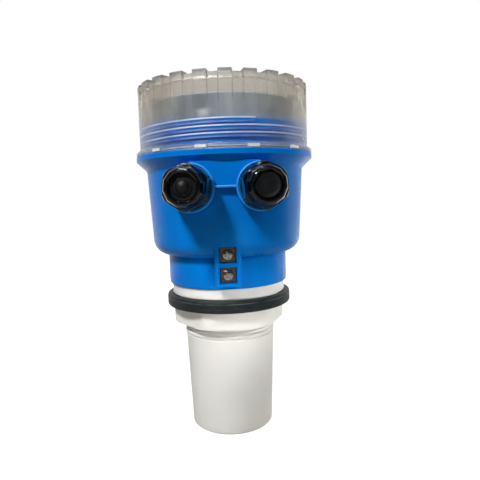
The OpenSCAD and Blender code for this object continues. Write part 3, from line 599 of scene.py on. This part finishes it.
def turned(name, slot, columns, rows, at=None, body="root", replaces=(), finish=None, sharp=35,
           place=Matrix(), cut=None):
    """A closed form swept round an axis, with a column of points at each of the angles.

    The rows run round the section, outside going up and inside coming down, and join up. Each
    is a radius and a height in millimetres, or at(angle, row) gives these. A row whose radius
    is nothing closes in one point. The place takes the axis from Z to where the piece is."""
    verts, rings = [], []
    for row in rows:
        ring = []
        for angle in columns:
            radius, height = at(angle, row) if at else row
            r, z = radius * MM, height * MM
            if r < 1e-7:
                if not ring:
                    verts.append(place @ Vector((0, 0, z)))
            else:
                verts.append(place @ Vector((r * math.sin(angle), -r * math.cos(angle), z)))
            ring.append(len(verts) - 1)
        rings.append(ring)
    faces = []
    for low, high in zip(rings, rings[1:] + rings[:1]):
        if len(set(low)) == 1 and len(set(high)) == 1:
            continue
        for i in range(len(columns)):
            j = (i + 1) % len(columns)
            corners = (low[i], low[j], high[j], high[i])
            faces.append(list(dict.fromkeys(corners)))
    mesh = bpy.data.meshes.new(name)
    mesh.from_pydata(verts, [], faces)
    obj = new_object(name, mesh, finish or slot)
    if cut:
        cut_away(obj, cut)
    smooth_faces(obj, sharp)
    placed(obj, body, replaces)


def even(count):
    """That many angles round the whole circle, in radians."""
    return [2 * math.pi * i / count for i in range(count)]


def arc(r_middle, z_middle, radius, start, end, steps):
    """Points of an arc in the radius and height plane, by angles in degrees."""
    points = []
    for i in range(steps + 1):
        a = math.radians(start + (end - start) * i / steps)
        points.append((r_middle + radius * math.cos(a), z_middle + radius * math.sin(a)))
    return points


def smooth(low, high, x):
    """Goes smoothly from nothing to one while x goes from low to high."""
    t = min(1.0, max(0.0, (x - low) / (high - low)))
    return t * t * (3 - 2 * t)


class Tree:
    """A Geometry Nodes tree whose sizes are named inputs."""

    def __init__(self, name, **sizes):
        self.group = bpy.data.node_groups.new(name, "GeometryNodeTree")
        face = self.group.interface
        face.new_socket("Geometry", in_out="OUTPUT", socket_type="NodeSocketGeometry")
        self.identifiers = {}
        for key, value in sizes.items():
            kind = "NodeSocketInt" if isinstance(value, int) else "NodeSocketFloat"
            socket = face.new_socket(key, in_out="INPUT", socket_type=kind)
            self.identifiers[key] = socket.identifier
        self.sizes = sizes
        self.entry = self.group.nodes.new("NodeGroupInput")
        self.exit = self.group.nodes.new("NodeGroupOutput")

    def size(self, key):
        return self.entry.outputs[key]

    def add(self, kind, settings=None, inputs=None):
        return add_node(self.group, "GeometryNode" + kind, settings, inputs).outputs[0]

    def times(self, first, second):
        inputs = {0: first, 1: second}
        return add_node(self.group, "ShaderNodeMath", {"operation": "MULTIPLY"}, inputs).outputs[0]

    def xyz(self, x=0.0, y=0.0, z=0.0):
        return add_node(self.group, "ShaderNodeCombineXYZ", inputs={0: x, 1: y, 2: z}).outputs[0]

    def moved(self, geometry, shift=(0, 0, 0), turn=(0, 0, 0)):
        return self.add("Transform", inputs={
            "Geometry": geometry, "Translation": shift, "Rotation": turn})

    def circle(self, radius, steps):
        return self.add("CurvePrimitiveCircle", {"mode": "RADIUS"}, {
            "Resolution": steps, "Radius": radius})

    def swept(self, line, section, caps=False):
        return self.add("CurveToMesh", inputs={
            "Curve": line, "Profile Curve": section, "Fill Caps": caps})

    def grow(self, name, geometry, finish, body="root", sharp=40):
        """Ends the tree, runs it once and keeps its mesh as a plain piece."""
        whole = self.add("RealizeInstances", inputs={0: geometry})
        coated = self.add("SetMaterial", inputs={"Geometry": whole, "Material": finishes[finish]})
        self.group.links.new(coated, self.exit.inputs[0])
        obj = new_object(name, bpy.data.meshes.new(name), finish)
        modifier = obj.modifiers.new("grown", "NODES")
        modifier.node_group = self.group
        for key, value in self.sizes.items():
            modifier[self.identifiers[key]] = value
        settle(obj)
        if len(obj.data.materials) > 1:    # instances bring an empty slot of their own
            obj.data.materials.pop(index=0)
        smooth_faces(obj, sharp)
        placed(obj, body)


# ---- The camera, the lamps and the floor ----

def add_camera():
    """The photo's camera, as fitted to it: its width and focal length in pixels, its place in
    metres and how it is turned in radians."""
    picture_width, focal_length = 480, 460.3
    place = (0, -0.3208, 0.1577)
    yaw, pitch, roll = 0.0278, 0.0940, -0.0308
    ahead = Vector((math.sin(yaw) * math.cos(pitch), math.cos(yaw) * math.cos(pitch),
                    -math.sin(pitch)))
    level = Vector((math.cos(yaw), -math.sin(yaw), 0))
    upright = level.cross(ahead)
    right = level * math.cos(roll) + upright * math.sin(roll)
    up = upright * math.cos(roll) - level * math.sin(roll)
    data = bpy.data.cameras.new("camera")
    data.sensor_width = 36
    data.lens = data.sensor_width * focal_length / picture_width
    data.clip_start = 0.01
    camera = in_scene("camera", data)
    axes = Matrix((right, up, -ahead)).transposed().to_4x4()
    camera.matrix_world = Matrix.Translation(place) @ axes
    bpy.context.scene.camera = camera


def add_lamp(name, place, target, size, power, colour=(1, 1, 1), mirrored=True, spread=180,
             diffuse=True):
    """A round or oval lamp. One that isn't mirrored lights the gauge but shows in no gloss."""
    data = bpy.data.lights.new(name, "AREA")
    data.shape = "ELLIPSE"
    data.size, data.size_y = size if isinstance(size, tuple) else (size, size)
    data.energy = power
    data.color = colour
    data.spread = math.radians(spread)
    lamp = in_scene(name, data)
    aim = (Vector(target) - Vector(place)).to_track_quat("-Z", "Y")
    lamp.matrix_world = Matrix.Translation(place) @ aim.to_matrix().to_4x4()
    lamp.visible_glossy = mirrored
    lamp.visible_transmission = mirrored
    lamp.visible_diffuse = diffuse


def add_world(level, room):
    """A white studio. Gloss and glass see its back white and the room before the gauge dim."""
    world = bpy.data.worlds.new("studio")
    bpy.context.scene.world = world
    w = Shader(world)
    ahead = w.add("SeparateXYZ", inputs={0: w.add("TexCoord", out="Generated")}, out="Y")
    depth = w.add("MapRange", inputs={
        "Value": ahead, "From Min": 0.05, "From Max": 0.7, "To Min": room})
    light = w.add("Background", inputs={"Color": WHITE, "Strength": level})
    mirrored = w.add("Background", inputs={"Color": depth, "Strength": 1.0})
    backdrop = w.add("Background", inputs={"Color": WHITE, "Strength": 1.0})
    surface = w.blend(w.rays("Glossy", "Transmission"), light, mirrored)
    w.end(w.blend(w.rays("Camera"), surface, backdrop), "OutputWorld")


def add_floor(glow):
    """A pale floor that stays white to the camera and keeps the gauge's shadow.

    Near the gauge it glows a little less, and gloss sees it dim in front."""
    side, gap = 4.0, 0.4 * MM    # the gap keeps the floor clear of the sensor's face
    corners = [(-side, -side, 0), (side, -side, 0), (side, side, 0), (-side, side, 0)]
    mesh = bpy.data.meshes.new("floor")
    mesh.from_pydata(corners, [], [(0, 1, 2, 3)])
    floor = in_scene("floor", mesh)
    floor.location.z = -gap
    f = Finish("floor_white")
    far = f.across().step(0.12, 0.5)
    room = f.axis("Y").step(0.05, 0.6, 0.05, 1.0)
    shine = f.mix(far, (glow, glow, glow, 1), WHITE)
    shine = f.mix(f.rays("Glossy") * (1 - room), shine, BLACK)
    surface = f.add("BsdfDiffuse", inputs={"Color": (0.42, 0.4, 0.36, 1)})
    light = f.add("Emission", inputs={"Color": shine, "Strength": 1.0})
    both = f.add("AddShader", inputs={0: surface, 1: light})
    f.end(f.blend(f.rays("Camera", "Glossy", "Transmission"), surface, both))
    mesh.materials.append(f.material)


bpy.context.scene.view_settings.view_transform = "Standard"
add_camera()
add_world(level=0.05, room=0.05)
add_floor(glow=0.88)
# The photo's own light, from the upper left, and the weak light that fills its shadows.
add_lamp("key", (-0.44, -0.74, 0.96), (0, 0, 0.15), 0.2, 13.9)
add_lamp("front", (0.5, -0.95, 0.45), (0, 0, 0.1), 0.25, 1.02, mirrored=False)
# The light that comes back from the table under the gasket.
add_lamp("low", (0.2, -0.5, 0.03), (0, 0, 0.092), 0.05, 0.0075, (1, 0.98, 0.95),
         mirrored=False, spread=12)
# The thin lines of light on the glands and the cap's rim, and a spot on the cap's right side.
add_lamp("strip", (-0.1, -0.1, 0.9), (0, -0.07, 0.16), (0.9, 0.08), 3.6, diffuse=False)
add_lamp("right", (0.6, -0.85, 0.7), (0, 0, 0.225), 0.06, 0.009, mirrored=False, spread=6)
# The sides that the camera doesn't see.
add_lamp("back", (0.35, 1.1, 0.5), (0, 0, 0.12), 0.6, 9.0, mirrored=False)
add_lamp("side", (1.0, 0.4, 0.25), (0, 0, 0.1), 0.5, 6.5, mirrored=False)


# ---- The gauge ----

for name, node in frame["nodes"].items():
    node.data.materials.clear()
    node.data.materials.append(finishes[slot_of[name]])

to_front = Matrix.Rotation(math.radians(90), 4, "X")


def gland_frame(side):
    """From a gland's own axes, outwards along Z, to the gauge's."""
    x, y, z = GLAND_AT
    toe = Matrix.Rotation(side * math.radians(GLAND_TOE), 4, "Y")
    return Matrix.Translation((side * x * MM, y * MM, z * MM)) @ to_front @ toe


def many_sided(angle, sides, apothem, corner):
    """Radius of a polygon with a corner at angle nothing, its corners eased to that radius."""
    pitch = 2 * math.pi / sides
    off = (angle + pitch / 2) % pitch - pitch / 2
    flat = apothem / math.cos(pitch / 2 - abs(off))
    blunt = 0.25
    if flat < corner - blunt:
        return flat
    return corner - blunt * math.exp(-(flat - corner + blunt) / blunt)


def gland_nut(side, name, turn):
    """The dome nut: a hexagon whose corners are turned away in front, and a twelve-sided nose."""
    # Each row's form, its height along the gland and its radius.
    section = [
        ("hex", 7.9, 12.4), ("hex", 8.3, 12.9), ("hex", 8.9, 13.3), ("hex", 10, 13.5),
        ("hex", 13, 13.5), ("hex", 14.6, 13.4), ("hex", 15.8, 13.15), ("hex", 16.6, 12.8),
        ("hex", 17.1, 12.4), ("hex", 17.35, 12.1), ("nose", 17.5, 11.9), ("nose", 17.9, 11.75),
        ("nose", 20.4, 11.25), ("nose", 22.6, 10.6), ("nose", 23.3, 10.3), ("nose", 23.85, 9.95),
        ("nose", 24.25, 9.5), ("nose", 24.5, 9.1), ("round", 24.6, 8.75), ("round", 24.58, 8.5),
        ("mouth", 24.35, 8.1), ("mouth", 24.0, 8.0), ("mouth", 22.5, 8.0), ("round", 22.3, 7.5),
        ("round", 22.28, 8.2), ("round", 16.5, 8.2), ("round", 16.48, 9.35), ("round", 7.9, 9.35)]
    hex_flat, hex_corner = 12, 13.86
    nose_half, mouth_half = math.pi / 12, math.pi / 8

    def at(angle, row):
        form, z, r = row
        if form == "hex":
            r = min(r, many_sided(angle, 6, hex_flat, hex_corner))
        elif form == "nose":
            r = many_sided(angle - nose_half, 12, r * math.cos(nose_half), r)
        elif form == "mouth":
            r = many_sided(angle, 8, r * math.cos(mouth_half), r)
        return r, z

    own = Matrix.Rotation(math.radians(turn + 90), 4, "Z")
    turned(f"nut_{name}", "gland_black", even(144), section, at, f"{name}_nut",
           [f"gland_{name}_nut"], sharp=24, place=gland_frame(side) @ own)


def cap():
    """The clear screw cap: grip lugs round its top, a flared lip and a thread inside."""
    lip = (arc(58.5, 185.9, 0.4, -90, 0, 3) + [(58.9, 187.1)]
           + arc(58.9, 190.5, 2.5, -100, -180, 8) + [(56.4, 193), (56.4, 203)])
    middle = [(47.4, 230), (30, 230), (0, 230)]
    # The outside is drawn twice, row by row: through a lug, and through the hollow between two.
    through_lug = (lip + [(56.4, 211.5), (56.4, 213), (56.4, 214.5), (56.4, 216.5), (56.4, 221),
                          (56.4, 225)] + arc(55.4, 229, 1.0, 0, 90, 8)
                   + [(52, 230), (50.6, 230), (49.6, 230), (49, 230), (48, 230)] + middle)
    through_hollow = (lip + [(56.4, 209.5), (56.2, 211.5), (55.85, 213.7), (55.4, 216.5),
                             (54.8, 221), (54.4, 225)] + arc(52.2, 226.7, 2.0, 5, 88, 8)
                      + [(50.6, 228.75), (49.9, 228.8), (49.3, 229.1), (48.9, 229.6), (48.3, 230)]
                      + middle)
    inside = ([(0, 227), (30, 227), (49.4, 227)] + arc(49.9, 224.5, 2.5, 90, 0, 6)
              + [(52.4, 214), (52.4, 207.5), (53.6, 205.5)]
              + [(53.6, 187.95), (55.4, 187.9), (55.4, 185.5)])
    rows = list(zip(through_lug, through_hollow)) + [(point, point) for point in inside]

    # Columns from the middle of a lug to the middle of a hollow, close together on the lug's side.
    steps = [0, 1.4, 2.8, 3.6, 3.9, 4.02, 4.12, 4.2, 4.4, 4.48, 4.58, 4.7, 5.1, 5.9, 6.7]
    side_start, side_end = 3.98, 4.64
    half = LUG_PITCH / 2
    angles = set()
    for i in range(360 // LUG_PITCH):
        for off in [*steps, half, *(LUG_PITCH - step for step in steps[1:])]:
            angles.add(round((LUG_FIRST + LUG_PITCH * i + off) % 360, 4))
    columns = [math.radians(angle) for angle in sorted(angles)]

    def at(angle, row):
        on_lug, in_hollow = row
        off = (math.degrees(angle) - LUG_FIRST + half) % LUG_PITCH - half
        share = smooth(side_start, side_end, abs(off))
        return [a + (b - a) * share for a, b in zip(on_lug, in_hollow)]

    turned("cap_shell", "cap_clear", columns, rows, at, "cap", ["cap"], sharp=32)


def thread_ridge(name, start, end, front, radius, reach, width, crest, on_cap=False):
    """One thread ridge that climbs from one angle to another, in degrees, over its turns.

    The radius is that of the wall that it stands on, and the front is its height where it passes
    the front. The crest is its share of the width. The cap's ridge points inwards."""
    tree = Tree(name, radius=radius * MM, pitch=THREAD_PITCH * MM, turns=(end - start) / 360,
                low=(front + THREAD_PITCH * start / 360) * MM, first=math.radians(start - 90),
                reach=reach * MM, width=width * MM, crest=crest)
    spiral = tree.add("CurveSpiral", inputs={
        "Resolution": 120, "Rotations": tree.size("turns"), "Start Radius": tree.size("radius"),
        "End Radius": tree.size("radius"), "Reverse": True,
        "Height": tree.times(tree.size("pitch"), tree.size("turns"))})
    upright = tree.add("SetCurveNormal", {"mode": "Z_UP"}, {"Curve": spiral})
    path = tree.moved(upright, tree.xyz(z=tree.size("low")), tree.xyz(z=tree.size("first")))
    section = tree.add("CurvePrimitiveQuadrilateral", {"mode": "TRAPEZOID"}, {
        "Height": tree.times(tree.size("reach"), 2.0), "Bottom Width": tree.size("width"),
        "Top Width": tree.times(tree.size("width"), tree.size("crest")), "Offset": 0.0})
    across = tree.moved(section, turn=(0, 0, math.radians(90 if on_cap else -90)))
    ridge = tree.swept(path, across, caps=True)
    if on_cap:
        tree.grow(name, ridge, "cap_thread_highlight", "cap", sharp=60)
    else:
        tree.grow(name, ridge, "thread_blue", sharp=60)


def edge_beads():
    """The rounded bead round the face of each boss, and the one along the web between them. Their
    paler blue is a painted highlight along these edges.
    """
    for side, name in SIDES:
        tree = Tree(f"boss_rim_{name}", radius=13.7 * MM, bead=0.75 * MM, back=-0.1 * MM)
        rim = tree.swept(tree.circle(tree.size("radius"), 128), tree.circle(tree.size("bead"), 12))
        back = tree.moved(rim, tree.xyz(z=tree.size("back")))
        place = gland_frame(side)
        put = tree.moved(back, place.to_translation(), place.to_euler())
        tree.grow(f"boss_rim_{name}", put, "edge_blue")
    tree = Tree("web_bead", half=8.5 * MM, front=-55.1 * MM, height=163.8 * MM, bead=0.85 * MM)
    height, front, half = tree.size("height"), tree.size("front"), tree.size("half")
    line = tree.add("CurvePrimitiveLine", {"mode": "POINTS"}, {
        "Start": tree.xyz(tree.times(half, -1.0), front, height),
        "End": tree.xyz(half, front, height)})
    bead = tree.swept(line, tree.circle(tree.size("bead"), 16), caps=True)
    tree.grow("web_bead", bead, "edge_blue")


def lip_pads():
    """Twelve small pads moulded on the cap's lip."""
    pads, first = 12, 16.8
    tree = Tree("lip_pads", count=pads, radius=58.28 * MM, height=186.8 * MM,
                first=math.radians(first - 90), wide=6.8 * MM, deep=1.7 * MM, high=1.7 * MM)
    ring = tree.add("MeshCircle", {"fill_type": "NONE"}, {
        "Vertices": tree.size("count"), "Radius": tree.size("radius")})
    points = tree.add("MeshToPoints", {"mode": "VERTICES"}, {"Mesh": ring})
    pad = tree.add("MeshCube", inputs={
        "Size": tree.xyz(tree.size("deep"), tree.size("wide"), tree.size("high")),
        "Vertices X": 3, "Vertices Y": 5, "Vertices Z": 3})
    turn = tree.times(tree.add("InputIndex"), math.radians(360 / pads))
    copies = tree.add("InstanceOnPoints", inputs={
        "Points": points, "Instance": pad, "Rotation": tree.xyz(z=turn)})
    put = tree.moved(copies, tree.xyz(z=tree.size("height")), tree.xyz(z=tree.size("first")))
    tree.grow("lip_pads", put, "cap_pads", "cap")


def gasket():
    """The flat black ring: a band with eased edges and two faint mould lines."""
    inner, outer = 38.75, 42.6
    section = ([(inner, 85.55), (41.2, 85.55)] + arc(41.2, 86.95, 1.4, -90, 0, 6)
               + [(outer, 87.9), (outer, 88.1), (42.52, 88.2), (outer, 88.3), (outer, 91.2),
                  (42.58, 91.35), (42.45, 91.45), (42.5, 91.6)]
               + arc(41.2, 92.15, 1.25, 0, 90, 6) + [(40.2, 93.4), (inner, 93.4)])

    def at(angle, point):
        """The rim lies a little unevenly, as rubber does."""
        r, z = point
        lift = 0.05 * math.sin(3 * angle + 0.6) + 0.03 * math.sin(7 * angle)
        return r, z + lift * ((r - inner) / (outer - inner))

    turned("gasket", "rubber", even(192), section, at, replaces=["mounting_gasket"],
           finish="gasket_rubber", sharp=50)


def ground_terminals():
    """A nickel plate and a pan-head screw with a cross in each pocket of the ground pad."""
    pocket_y = -45.9
    plate_half, plate_t = 4.6, 1.1
    groove_half, groove_reach, groove_floor = 0.5, 2.1, 1.6
    head = ([(0, -3.5), (1.4, -3.5), (1.4, 1.15), (3.25, 1.15), (3.25, 1.7)]
            + arc(2.3, 1.75, 0.95, 0, 60, 5) + [(2.2, 2.68), (1.9, 2.78), (0.9, 2.95), (0, 3.0)])
    for name, z, turn in (("upper", 123.3, 20), ("lower", 110.9, 35)):
        outward = Matrix.Translation((0, pocket_y * MM, z * MM)) @ to_front
        plate = bmesh.new()
        add_block(plate, (-plate_half, -plate_half, 0), (plate_half, plate_half, plate_t), outward)
        solid(f"terminal_plate_{name}", "screw_steel", plate, 0.22 * MM, 3,
              replaces=[f"ground_plate_{name}"], finish="plate_nickel")
        own = outward @ Matrix.Rotation(math.radians(turn), 4, "Z")
        cross = bmesh.new()
        for x, y in ((groove_reach, groove_half), (groove_half, groove_reach)):
            add_block(cross, (-x, -y, groove_floor), (x, y, 4.0), own)
        turned(f"terminal_screw_{name}", "screw_steel", even(48), head,
               replaces=[f"ground_screw_{name}"], finish="head_nickel", place=own, cut=cross)


def gland_fronts():
    """What shows in the glands' mouths: seals, a domed plug at the left, a disc at the right."""
    seal = [(4.0, 11.1), (7.9, 11.1), (7.9, 21.2), (7.7, 21.7), (7.3, 21.95), (6.6, 21.9),
            (6.0, 21.7), (5.2, 21.9), (4.6, 22.15), (4.15, 22.1), (4.0, 21.8)]
    for side, name in SIDES:
        turned(f"seal_{name}", "rubber", even(96), seal, body=f"{name}_seal",
               replaces=[f"gland_{name}_seal"], finish="seal_black", sharp=45,
               place=gland_frame(side))
    dome = ([(0, 13.2), (3.85, 13.2), (3.85, 22.3), (4.4, 22.35), (4.4, 22.7)]
            + arc(0, 19.6, 5.0, 38, 90, 12))
    turned("plug_dome", "gland_black", even(72), dome, body="left_seal",
           replaces=["gland_left_plug"], finish="plug_black", sharp=40, place=gland_frame(-1))
    disc = [(0, 22.25), (7.05, 22.25), (7.05, 23.0), (6.9, 23.25), (6.6, 23.35), (6.2, 23.3),
            (5.6, 23.05), (4.6, 22.85), (3.2, 22.8), (1.6, 22.85), (0, 22.9)]
    turned("plug_disc", "gland_black", even(96), disc, body="right_seal",
           replaces=["gland_right_disc"], finish="plug_black", sharp=40, place=gland_frame(1))


def display_glass():
    """The window over the display, and what the display shows: a number over a scale."""
    pane = bmesh.new()
    add_block(pane, (-22.9, -4.4, 217.3), (22.9, 20.4, 219.45))
    solid("display_pane", "window_clear", pane, 0.25 * MM, replaces=["display_window"])

    ink, ink_low, ink_high = bmesh.new(), 216.74, 216.82

    def draw(x0, y0, x1, y1):
        add_block(ink, (x0, y0, ink_low), (x1, y1, ink_high))

    # Each bar of a figure: its place in half figures, and whether it stands upright.
    bars = {"a": (0, 1, 0), "b": (1, 0.5, 1), "c": (1, -0.5, 1), "d": (0, -1, 0),
            "e": (-1, -0.5, 1), "f": (-1, 0.5, 1), "g": (0, 0, 0)}
    lit = {"0": "abcdef", "2": "abdeg", "5": "acdfg", "8": "abcdefg"}
    first_x, middle_y, figure_pitch = -14.5, 8.5, 9.6
    half_wide, half_high = 2.9, 5.4
    half_thick, half_long = 0.55, 2.3
    for place, digit in enumerate("2580"):
        for bar in lit[digit]:
            x, y, upright = bars[bar]
            cx, cy = first_x + figure_pitch * place + half_wide * x, middle_y + half_high * y
            w, h = (half_thick, half_long) if upright else (half_long, half_thick)
            draw(cx - w, cy - h, cx + w, cy + h)
    draw(-10.2, 2.4, -9.2, 3.4)    # the decimal point
    mark_pitch = 3.4
    for mark in range(11):
        draw(-19 + mark_pitch * mark, -2.6, -16.4 + mark_pitch * mark, -1.5)
    solid("display_numbers", "part_black", ink)


def key_marks():
    """A raised mark on each key: a cross, two arrows and a ring."""
    low, high = 220.78, 220.88
    for i in range(4):
        bm = bmesh.new()
        at = Matrix.Translation(((i - 1.5) * KEY_PITCH * MM, KEY_Y * MM, 0))
        if i == 0:
            tilted = at @ Matrix.Rotation(math.radians(45), 4, "Z")
            add_block(bm, (-1.6, -0.35, low), (1.6, 0.35, high), tilted)
            # The second bar stands a hair higher, so that the two share no face.
            add_block(bm, (-0.35, -1.6, low + 0.001), (0.35, 1.6, high + 0.001), tilted)
        elif i < 3:
            tip = 1 if i == 1 else -1
            corners = [(-1.5, -0.8 * tip), (1.5, -0.8 * tip), (0, 1.6 * tip)]
            base, top = ([bm.verts.new(at @ (Vector((x, y, z)) * MM)) for x, y in corners]
                         for z in (low, high))
            bm.faces.new(base)
            bm.faces.new(top)
            for a in range(3):
                b = (a + 1) % 3
                bm.faces.new((base[a], base[b], top[b], top[a]))
        else:
            count = 20
            for k in range(count):
                turn = Matrix.Rotation(2 * math.pi * k / count, 4, "Z")
                add_block(bm, (1.0, -0.26, low), (1.6, 0.26, high + 0.0002 * k), at @ turn)
        solid(f"key_mark_{i + 1}", "fascia_grey", bm, body=f"key_{i + 1}", finish="mark_white")


rounded("housing", 0.45 * MM)
edge_beads()
rounded("sensor_body", 0.22 * MM)
gasket()
cap()
lip_pads()
thread_ridge("thread_housing", start=-10, end=1100, front=188.4, radius=51.6, reach=1.2,
             width=2.4, crest=0.35)
thread_ridge("thread_cap", start=150, end=1100, front=190.3, radius=53.5, reach=0.8,
             width=0.8, crest=0.4, on_cap=True)
nut_turns = (24, 36)
for (side, name), turn in zip(SIDES, nut_turns):
    rounded(f"gland_{name}_body", 0.4 * MM)
    gland_nut(side, name, turn)
gland_fronts()
ground_terminals()
display_glass()
key_marks()
